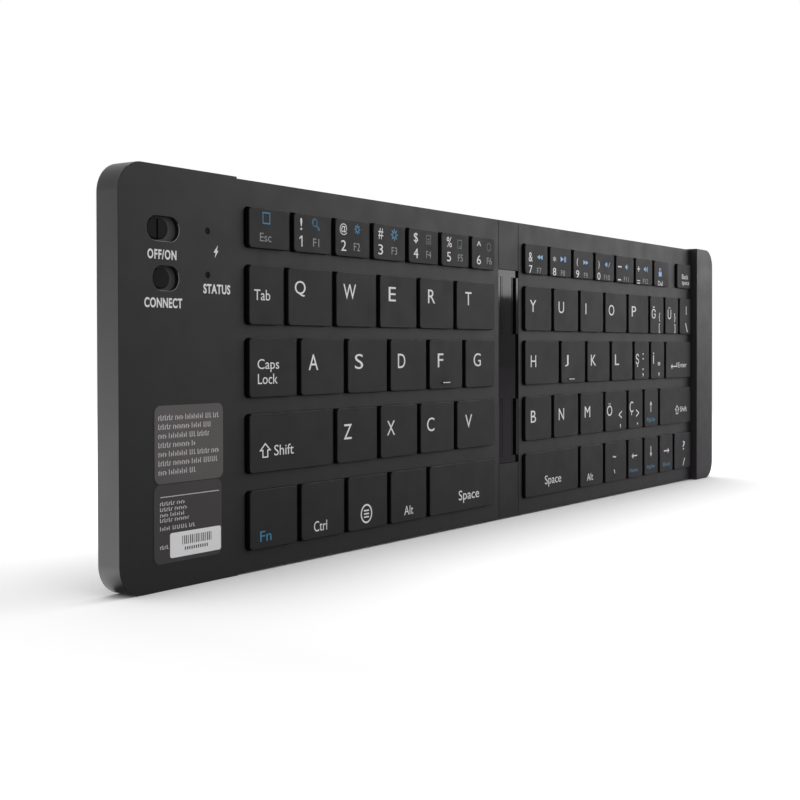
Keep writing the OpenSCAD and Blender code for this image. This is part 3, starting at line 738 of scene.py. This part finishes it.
def print_left_keys():
    """The legends of the left half, from the number row down."""
    row(34.1, 31.5, "white", ("!", -91.8, -91.1), ("@", -77.6, -74.85), ("#", -62.6, -60.6),
        ("$", -47.65, -45.8), ("%", -32.65, -30.25))
    word("^", "white", -17.9, -15.8, 33.95, 32.75)
    dash("white", -91.4, -91.06, 30.3, 27.88)
    stamp("white", (-91.4, 30.3), (-92.1, 29.8), (-92.1, 29.45), (-91.4, 29.9))
    row(30.3, 27.88, "white", ("2", -77.15, -75.2), ("3", -62.6, -60.7),
        ("4", -47.75, -45.7), ("5", -32.6, -30.65), ("6", -17.95, -15.85))
    row(29.95, 28.15, "grey", ("Esc", -105.2, -101.5), ("F1", -87.35, -85.15),
        ("F2", -72.3, -69.9), ("F3", -57.15, -54.85), ("F4", -42.15, -39.95),
        ("F5", -27.3, -24.95), ("F6", -12.8, -10.3))
    row(20.4, 16.98, "white", ("Q", -93.75, -90.0), ("W", -76.3, -71.5), ("E", -58.4, -55.4),
        ("R", -41.35, -38.15), ("T", -23.8, -20.65))
    row(4.45, 0.97, "white", ("A", -89.0, -85.65), ("S", -72.0, -68.8), ("D", -54.6, -51.45),
        ("F", -36.95, -34.35), ("G", -19.65, -16.0))
    row(-11.55, -15.0, "white", ("Z", -76.25, -73.25), ("X", -59.2, -55.9),
        ("C", -41.9, -38.55), ("V", -23.85, -20.5))
    word("Tab", "white", -107.1, -101.95, 18.05, 15.8)
    word("Caps", "white", -106.1, -99.1, 3.5, 0.75)
    word("Lock", "white", -106.0, -99.6, 0.4, -1.75)
    word("\u21e7", "white", -105.65, -101.75, -14.1, -17.25)
    word("Shift", "white", -100.8, -94.3, -14.75, -17.0)
    word("Fn", "blue", -105.45, -101.8, -32.6, -34.8)
    word("Ctrl", "white", -87.3, -82.6, -32.5, -34.8)
    word("Alt", "white", -52.0, -48.15, -32.6, -34.8)
    word("Space", "white", -27.1, -16.95, -31.1, -34.4)


def print_right_keys():
    """The legends of the right half, from the number row down."""
    row(32.75, 30.15, "white", ("&", 10.15, 12.35), ("(", 39.65, 40.5), (")", 54.1, 54.95))
    word("*", "white", 24.5, 26.5, 32.4, 30.9)
    dash("white", 68.2, 70.9, 31.85, 31.45)
    word("+", "white", 82.8, 84.9, 32.5, 30.8)
    row(29.1, 26.85, "white", ("7", 10.3, 12.2), ("8", 24.5, 26.5), ("9", 39.1, 41.25),
        ("0", 53.5, 55.6))
    dash("white", 68.2, 70.4, 27.7, 27.3)
    word("=", "white", 82.7, 84.9, 28.0, 26.85)
    row(28.6, 27.0, "grey", ("F7", 15.0, 17.5), ("F8", 29.5, 32.0), ("F9", 44.4, 46.9),
        ("F10", 58.1, 62.2), ("F11", 72.6, 76.2), ("F12", 87.25, 91.2))
    word("Del", "white", 99.5, 103.3, 28.4, 26.8)
    word("Back", "white", 120.0, 125.5, 31.6, 29.9)
    word("space", "white", 120.0, 126.4, 29.0, 27.5)
    row(19.35, 16.0, "white", ("Y", 10.8, 14.4), ("U", 28.0, 31.4), ("O", 61.5, 65.45),
        ("P", 78.55, 81.9))
    row(19.75, 15.65, "white", ("\u011e", 94.35, 97.5), ("\u00dc", 107.65, 110.5))
    dash("white", 45.4, 46.0, 19.3, 16.05)
    row(17.65, 14.75, "white", ("{", 100.1, 101.2), ("}", 113.0, 114.3))
    row(14.0, 11.0, "white", ("[", 100.2, 101.1), ("]", 113.1, 114.1))
    dash("white", 123.6, 124.0, 20.4, 17.5)
    word("\\", "white", 122.9, 125.2, 14.5, 11.4)
    row(3.75, 0.4, "white", ("H", 11.25, 14.4), ("J", 32.0, 34.3), ("K", 49.05, 52.5),
        ("L", 66.0, 69.0))
    word("\u015e", "white", 81.7, 84.15, 3.9, -0.4)
    word(":", "white", 87.0, 87.8, 4.1, 2.0)
    word(";", "white", 86.9, 87.8, -0.9, -3.65)
    dash("white", 95.5, 96.1, 3.4, 0.55)
    dash("white", 95.5, 96.1, 4.3, 3.75)
    word("\"", "white", 99.45, 101.15, 1.05, -0.2)
    word("'", "white", 100.0, 100.6, -2.4, -3.65)
    row(-11.9, -15.3, "white", ("B", 11.25, 14.3), ("N", 28.1, 31.4), ("M", 44.9, 48.55))
    word("\u00d6", "white", 60.3, 64.0, -11.5, -15.5)
    word("\u00c7", "white", 77.0, 79.75, -11.5, -15.9)
    row(-14.15, -16.7, "white", ("<", 68.85, 71.1), (">", 81.9, 84.15))
    word(",", "white", 69.65, 70.4, -18.4, -19.7)
    word(".", "white", 82.6, 83.4, -18.45, -19.2)
    word("\u21e7", "white", 113.85, 117.75, -14.0, -17.15)
    word("Shift", "white", 118.3, 124.4, -14.6, -16.4)
    word("Enter", "white", 116.5, 124.1, 0.75, -0.95)
    word("Space", "white", 19.55, 29.55, -30.9, -34.2)
    word("Alt", "white", 46.4, 50.5, -32.4, -34.6)
    word("~", "white", 64.5, 66.8, -28.2, -28.9)
    word("`", "white", 65.2, 66.1, -32.6, -33.8)
    word("?", "white", 120.8, 122.6, -26.8, -29.85)
    word("/", "white", 120.8, 122.8, -32.8, -35.4)
    row(-17.35, -18.95, "blue", ("PgUp", 90.45, 97.1))
    row(-33.2, -34.45, "blue", ("Home", 77.1, 83.4), ("PgDn", 90.45, 96.9),
        ("End", 103.9, 109.1))


def arrow(x, y, reach, head, way):
    """A slim arrow; way is its heading, a quarter turn at a time from +X."""
    dx, dy = ((1, 0), (0, 1), (-1, 0), (0, -1))[way]

    def at(along, across):
        return (x + along * dx - across * dy, y + along * dy + across * dx)

    half = 0.2
    stamp("white", at(-reach, -half), at(reach - head, -half), at(reach - head, half),
          at(-reach, half))
    stamp("white", at(reach - 1.4 * head, -head), at(reach, 0), at(reach - 1.4 * head, head))


def speaker(x, y, waves):
    """A loudspeaker with so many waves beside it."""
    stamp("pale blue", (x, y - 0.35), (x + 0.5, y - 0.35), (x + 1.3, y - 0.95),
          (x + 1.3, y + 0.95), (x + 0.5, y + 0.35), (x, y + 0.35))
    for n in range(waves):
        side = x + 1.65 + 0.5 * n
        tall = 0.4 + 0.25 * n
        stamp("pale blue", (side, y - tall), (side + 0.25, y - tall), (side + 0.4, y),
              (side + 0.25, y + tall), (side, y + tall), (side + 0.15, y))


def print_symbols():
    """The pictures on the keys."""
    hoop("blue", -103.1, 33.1, 1.75, 0.35, 4, 45)
    word("\U0001F50D", "blue", -87.65, -84.95, 34.35, 31.75, 0.012)
    for x, y, size in ((-70.9, 33.1, 1.2), (-56.0, 32.9, 1.5)):
        word("\u263c", "blue", x - size, x + size, y + size, y - size, 0.012)
    for x, top in ((-41.1, 33.9), (-26.5, 33.7)):
        word("\u25a1", "slate", x - 1.1, x + 1.1, top, top - 2.3)
    for y in (33.0, 32.4):
        dash("slate", -41.7, -40.5, y, y - 0.3)
    dash("slate", -26.5, -25.8, 32.2, 31.8)
    word("\u25cb", "slate", -12.9, -10.6, 33.9, 31.6)
    for n in (0, 1):
        x = 15.0 + 1.6 * n
        stamp("pale blue", (x, 31.65), (x + 1.6, 30.95), (x + 1.6, 32.35))
        x = 44.0 + 1.6 * n
        stamp("pale blue", (x, 30.95), (x + 1.6, 31.65), (x, 32.35))
        dash("pale blue", 31.5 + 0.75 * n, 31.9 + 0.75 * n, 32.65, 31.05)
    stamp("pale blue", (29.3, 31.05), (31.1, 31.85), (29.3, 32.65))
    speaker(58.9, 31.8, 1)
    stamp("pale blue", (61.2, 31.0), (61.5, 31.0), (62.5, 32.6), (62.2, 32.6))
    speaker(73.7, 31.75, 1)
    speaker(88.0, 31.75, 3)
    dash("pale blue", 100.0, 102.4, 31.4, 29.95)
    dash("pale blue", 100.45, 100.75, 32.4, 31.4)
    dash("pale blue", 101.65, 101.95, 32.4, 31.4)
    dash("pale blue", 100.45, 101.95, 32.65, 32.35)
    arrow(93.65, -13.7, 1.8, 0.9, 1)
    arrow(93.65, -28.65, 1.75, 0.9, 3)
    arrow(80.6, -29.25, 2.1, 0.9, 2)
    arrow(106.7, -29.25, 2.3, 0.9, 0)
    arrow(113.0, -0.55, 2.7, 0.9, 2)
    dash("white", 115.3, 115.7, 0.75, -0.35)
    hoop("white", -67.6, -32.75, 2.25, 0.4)
    for n in (-1, 0, 1):
        dash("white", -68.6, -66.6, -32.6 + 0.75 * n, -32.95 + 0.75 * n)


def print_margin():
    """The words beside the switches and the lights, and the charging flash."""
    row(24.75, 22.85, "white", ("OFF/ON", -137.0, -129.2), weight=0.03, apart=1.15)
    row(15.5, 13.55, "white", ("CONNECT", -137.85, -127.65), weight=0.03, apart=1.08)
    row(18.65, 16.7, "white", ("STATUS", -121.65, -113.7), weight=0.03, apart=1.08)
    stamp("white", (-118.35, 23.9), (-117.2, 25.45), (-117.7, 25.45), (-117.35, 26.55),
          (-118.65, 25.0), (-118.0, 25.0))


def label(name, x0, x1, top, bottom, radius, finish, lift=0.0):
    """A printed film with round corners, stuck on the margin."""
    bm = bmesh.new()
    z = DECK_Z - LABEL_SUNK + lift
    corners = [bm.verts.new((x, y, z)) for x, y in
               ((x0, bottom), (x1, bottom), (x1, top), (x0, top))]
    bm.faces.new(corners)
    bmesh.ops.bevel(bm, geom=corners, offset=radius, offset_type="OFFSET", segments=6,
                    profile=0.5, affect="VERTICES", material=-1)
    grown = bmesh.ops.extrude_face_region(bm, geom=bm.faces[:])["geom"]
    rising = [g for g in grown if isinstance(g, bmesh.types.BMVert)]
    bmesh.ops.translate(bm, verts=rising, vec=(0, 0, LABEL_T + LABEL_SUNK))
    bmesh.ops.recalc_face_normals(bm, faces=bm.faces)
    made = piece(name, bm, finish, margin_body, smooth=False)
    return made


def print_labels():
    """Two films and a white tag; strokes and bars stand in for their small print."""
    label("upper_label", -135.4, -116.1, -5.25, -20.35, 1.5, label_finish)
    label("lower_label", -135.6, -116.6, -20.5, -35.75, 1.5, plate_finish)
    ends = (-117.5, -119.35, -119.5, -124.25, -117.35, -117.6, -123.6)
    for n, end in enumerate(ends):
        y = -7.6 - 1.76 * n
        greek(-134.35, end, y + 0.55, y - 0.5)
    dash("small print", -133.9, -117.35, -22.82, -22.98, lift=LABEL_T)
    for y, end in ((-24.2, -126.9), (-25.3, -126.5), (-26.4, -127.0), (-27.4, -126.2),
                   (-29.0, -124.6), (-32.6, -131.9)):
        greek(-134.0, end, y + 0.42, y - 0.36)
    label("white_tag", -131.35, -116.9, -30.05, -34.9, 0.5, tag_finish, lift=LABEL_T)
    for n in range(16):
        x = -128.0 + 0.54 * n
        dash("black", x, x + 0.16 + 0.09 * (n * n % 3), -30.9, -32.6, lift=2 * LABEL_T)
    for n in range(11):
        x = -127.3 + 0.62 * n
        dash("black", x, x + 0.3, -33.1, -33.75, lift=2 * LABEL_T)


def greek(x0, x1, top, bottom):
    """A line of small print that says nothing: stems and cross strokes."""
    n = round(abs(top) * 10) % len(WORD_LENGTHS)
    x, left = x0, WORD_LENGTHS[n]
    tall = top - bottom
    while x < x1 - STEM:
        kind = (left * left + n) % 4
        head = top if kind in (0, 3) else top - 0.28 * tall
        dash("small print", x, x + STEM, head, bottom, lift=LABEL_T)
        if kind != 3:
            level = bottom + tall * (0.0, 0.62, 0.3)[kind]
            dash("small print", x + STEM, x + 2.3 * STEM, level + 0.8 * STEM, level,
                 lift=LABEL_T)
        x += 3.1 * STEM
        left -= 1
        if left == 0:
            n += 1
            left = WORD_LENGTHS[n % len(WORD_LENGTHS)]
            x += 2.4 * STEM


def place_prints():
    """Gives the flat patches the thickness of a coat of ink, and places all."""
    for (body, ink), bm in sorted(prints.items(), key=lambda item: item[0]):
        grown = bmesh.ops.extrude_face_region(bm, geom=patches[body, ink])["geom"]
        rising = [g for g in grown if isinstance(g, bmesh.types.BMVert)]
        bmesh.ops.translate(bm, verts=rising, vec=(0, 0, 2 * PRINT))
        bmesh.ops.remove_doubles(bm, verts=bm.verts, dist=PRINT_WELD)
        bmesh.ops.recalc_face_normals(bm, faces=bm.faces)
        piece(f"{ink.replace(' ', '_')}_print_{body}", bm, INKS[ink], body, smooth=False)


def touch_bars():
    """The small raised bars by which the index fingers find their keys."""
    for name, x0, x1, y in (("f_bar", -35.0, -31.2, -2.95), ("j_bar", 33.9, 37.95, -3.4)):
        bm = bmesh.new()
        bmesh.ops.create_cube(bm, size=1)
        bmesh.ops.scale(bm, verts=bm.verts, vec=(x1 - x0, 0.6, 0.5))
        bmesh.ops.bevel(bm, geom=bm.edges[:], offset=0.2, offset_type="OFFSET", segments=3,
                        profile=0.5, affect="EDGES", material=-1)
        bmesh.ops.translate(bm, verts=bm.verts, vec=((x0 + x1) / 2, y, KEY_Z))
        made = piece(name, bm, key_finish, carrier((x0 + x1) / 2, y)[0])
        # The white strip along each bar's top is a painted highlight
        dash("white", x0 + 0.2, x1 - 0.2, y + 0.1, y - 0.1, lift=0.25)


def knob_groove():
    """The line across the power knob that a fingernail catches, drawn as a near-black strip
    of painted shade.
    """
    low, high = (Vector(corner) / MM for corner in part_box("power_slider"))
    bm = bmesh.new()
    bmesh.ops.create_cube(bm, size=1)
    bmesh.ops.scale(bm, verts=bm.verts, vec=(0.26, high.y - low.y - 1.7, 0.1))
    bmesh.ops.translate(bm, verts=bm.verts, vec=(GROOVE_X, (low.y + high.y) / 2, high.z))
    piece("power_groove", bm, groove_shade_finish, body_of("power_slider"))


print_left_keys()
print_right_keys()
print_symbols()
print_margin()
print_labels()
touch_bars()
knob_groove()
place_prints()


# ---- light, floor and backdrop ----

WINDOW_SIZE = (1.6, 1.0)
WINDOW_POWER = 10.2
WINDOW_AT = (1.25, 0.873, 0.30)
WINDOW_TO = (0, 0.873, 0)
HORIZON = 0.0418  # height of the wall's foot, as a share of a unit ray
HORIZON_BLUR = 0.003
DIM = 0.20  # how bright the studio is below the horizon
ROOM_LEVEL = 0.85  # how bright it is for all but mirrored and camera rays
FLOOR_SIZE = 2500
FLOOR_GAP = 0.03
FLOOR_GLOW = (0.25, 0.49)  # from its left end to its right end
FLOOR_BRIGHT = 2.9
CONTACT_GLOW = 0.0
CONTACT_REACH = 0.055
CONTACT_BAND = (0.45, 0.98)  # open sky over the floor, from under the piece to clear of it


def lamp(name, size, power, at, to):
    """A softbox of so many metres that looks from one place to another."""
    data = bpy.data.lights.new(name, "AREA")
    data.shape = "RECTANGLE"
    data.size, data.size_y = size
    data.energy = power
    made = bpy.data.objects.new(name, data)
    bpy.context.scene.collection.objects.link(made)
    made.location = at
    made.rotation_mode = "QUATERNION"
    made.rotation_quaternion = (Vector(to) - Vector(at)).to_track_quat("-Z", "Y")


def light_the_room():
    """A white studio that brightens to the right, with a tall softbox past that end."""
    world = bpy.data.worlds.new("studio")
    bpy.context.scene.world = world
    world.use_nodes = True
    world.cycles.sampling_method = "NONE"
    g = Graph(world.node_tree)
    ground = g.nodes["Background"]
    ground.inputs["Color"].default_value = (1, 1, 1, 1)
    path = g.add("ShaderNodeLightPath").outputs
    shown = g.reckon("MAXIMUM", path["Is Camera Ray"], path["Is Transmission Ray"])
    way = g.parts(g.add("ShaderNodeTexCoord").outputs["Generated"])
    rise = g.span(way["Y"], HORIZON - HORIZON_BLUR, HORIZON + HORIZON_BLUR, DIM, 1.0)
    sweep = g.span(way["X"], 0.6, 0.95, 0.25, 1.5)
    behind = g.span(way["Z"], -0.1, -0.3, 0.0, 0.9)
    sky = g.reckon("MULTIPLY", rise, g.reckon("MAXIMUM", sweep, behind))
    mirrored = g.blend(path["Is Glossy Ray"], ROOM_LEVEL, sky)
    g.link(g.blend(shown, mirrored, 1.0), ground.inputs["Strength"])
    lamp("window softbox", WINDOW_SIZE, WINDOW_POWER, WINDOW_AT, WINDOW_TO)


def floor_sheet():
    """A plane along the near edge that faces the keyboard."""
    bm = bmesh.new()
    bmesh.ops.create_grid(bm, x_segments=2, y_segments=2, size=FLOOR_SIZE)
    bmesh.ops.rotate(bm, verts=bm.verts, cent=(0, 0, 0),
                     matrix=Matrix.Rotation(math.radians(-90), 3, "X"))
    bmesh.ops.translate(bm, verts=bm.verts, vec=(0, -CAP_Y - FLOOR_GAP, 0))
    bmesh.ops.transform(bm, matrix=Matrix.Scale(MM, 4), verts=bm.verts)
    mesh = bpy.data.meshes.new("pale floor")
    bm.to_mesh(mesh)
    bm.free()
    return mesh


def floor_finish():
    """Pale paper with a painted contact shadow: its glow dims where the keyboard hides the
    sky. It fades to white far off; seen from the object it is dim.
    """
    f = Finish("pale floor")
    f.shader.inputs["Specular IOR Level"].default_value = 0.0
    f.shader.inputs["Roughness"].default_value = 0.9
    f.colour(f.two_tone(f.noise(3, 3), (0.80, 0.80, 0.80), (0.82, 0.82, 0.82)))

    def glow(strength, colour=(1, 1, 1, 1)):
        node = f.add("ShaderNodeEmission")
        node.inputs["Color"].default_value = colour
        f.feed(node.inputs["Strength"], strength)
        return node.outputs[0]

    def mixed(factor, a, b):
        node = f.add("ShaderNodeMixShader")
        f.link(factor, node.inputs["Fac"])
        f.link(a, node.inputs[1])
        f.link(b, node.inputs[2])
        return node.outputs[0]

    place = f.parts(f.where())
    reach = f.add("ShaderNodeVectorMath", operation="LENGTH")
    f.link(f.where(), reach.inputs[0])
    far = reach.outputs["Value"]
    way = f.add("ShaderNodeVectorMath", operation="NORMALIZE")
    f.link(f.where(), way.inputs[0])
    toward = f.parts(way.outputs["Vector"])["X"]
    near = f.add("ShaderNodeAmbientOcclusion", samples=12)
    near.inputs["Distance"].default_value = CONTACT_REACH
    sky = near.outputs["AO"]

    # Painted contact shadow: the glow drops where the keyboard hides the sky
    level = f.blend(f.span(sky, *CONTACT_BAND, 0, 1), CONTACT_GLOW,
                    f.span(place["X"], -0.16, -0.08, *FLOOR_GLOW))
    lit = f.add("ShaderNodeAddShader")
    f.link(f.shader.outputs[0], lit.inputs[0])
    f.link(glow(level), lit.inputs[1])
    seen = mixed(f.span(far, 0.3, 0.7, 0, 1), lit.outputs[0], glow(1.0))

    fade = f.reckon("MULTIPLY", f.span(far, 0.15, 1.5, 1.0, 0.70),
                    f.span(toward, 0.6, 0.95, 0.26, 0.52))
    # Seen from the object, the glow also darkens under the keyboard: painted shadow
    shaded = f.reckon("MULTIPLY", f.span(sky, *CONTACT_BAND, 0.35, 1), fade)
    sunny = glow(f.span(sky, 0.45, 0.65, 0.0, FLOOR_BRIGHT))
    away = mixed(f.span(place["Z"], -0.004, 0.004, 1, 0),
                 glow(shaded, (1.0, 0.90, 1.0, 1)), sunny)

    path = f.add("ShaderNodeLightPath")
    both = mixed(path.outputs["Is Camera Ray"], away, seen)
    side = f.add("ShaderNodeNewGeometry")
    clear = f.add("ShaderNodeBsdfTransparent").outputs[0]
    shown = mixed(side.outputs["Backfacing"], both, clear)
    f.link(shown, f.nodes["Material Output"].inputs["Surface"])
    return f.material


def lay_floor():
    """The paper under the near edge, shown from the keyboard's side only."""
    floor = bpy.data.objects.new("pale_floor", floor_sheet())
    bpy.context.scene.collection.objects.link(floor)
    floor.data.materials.append(floor_finish())


light_the_room()
lay_floor()
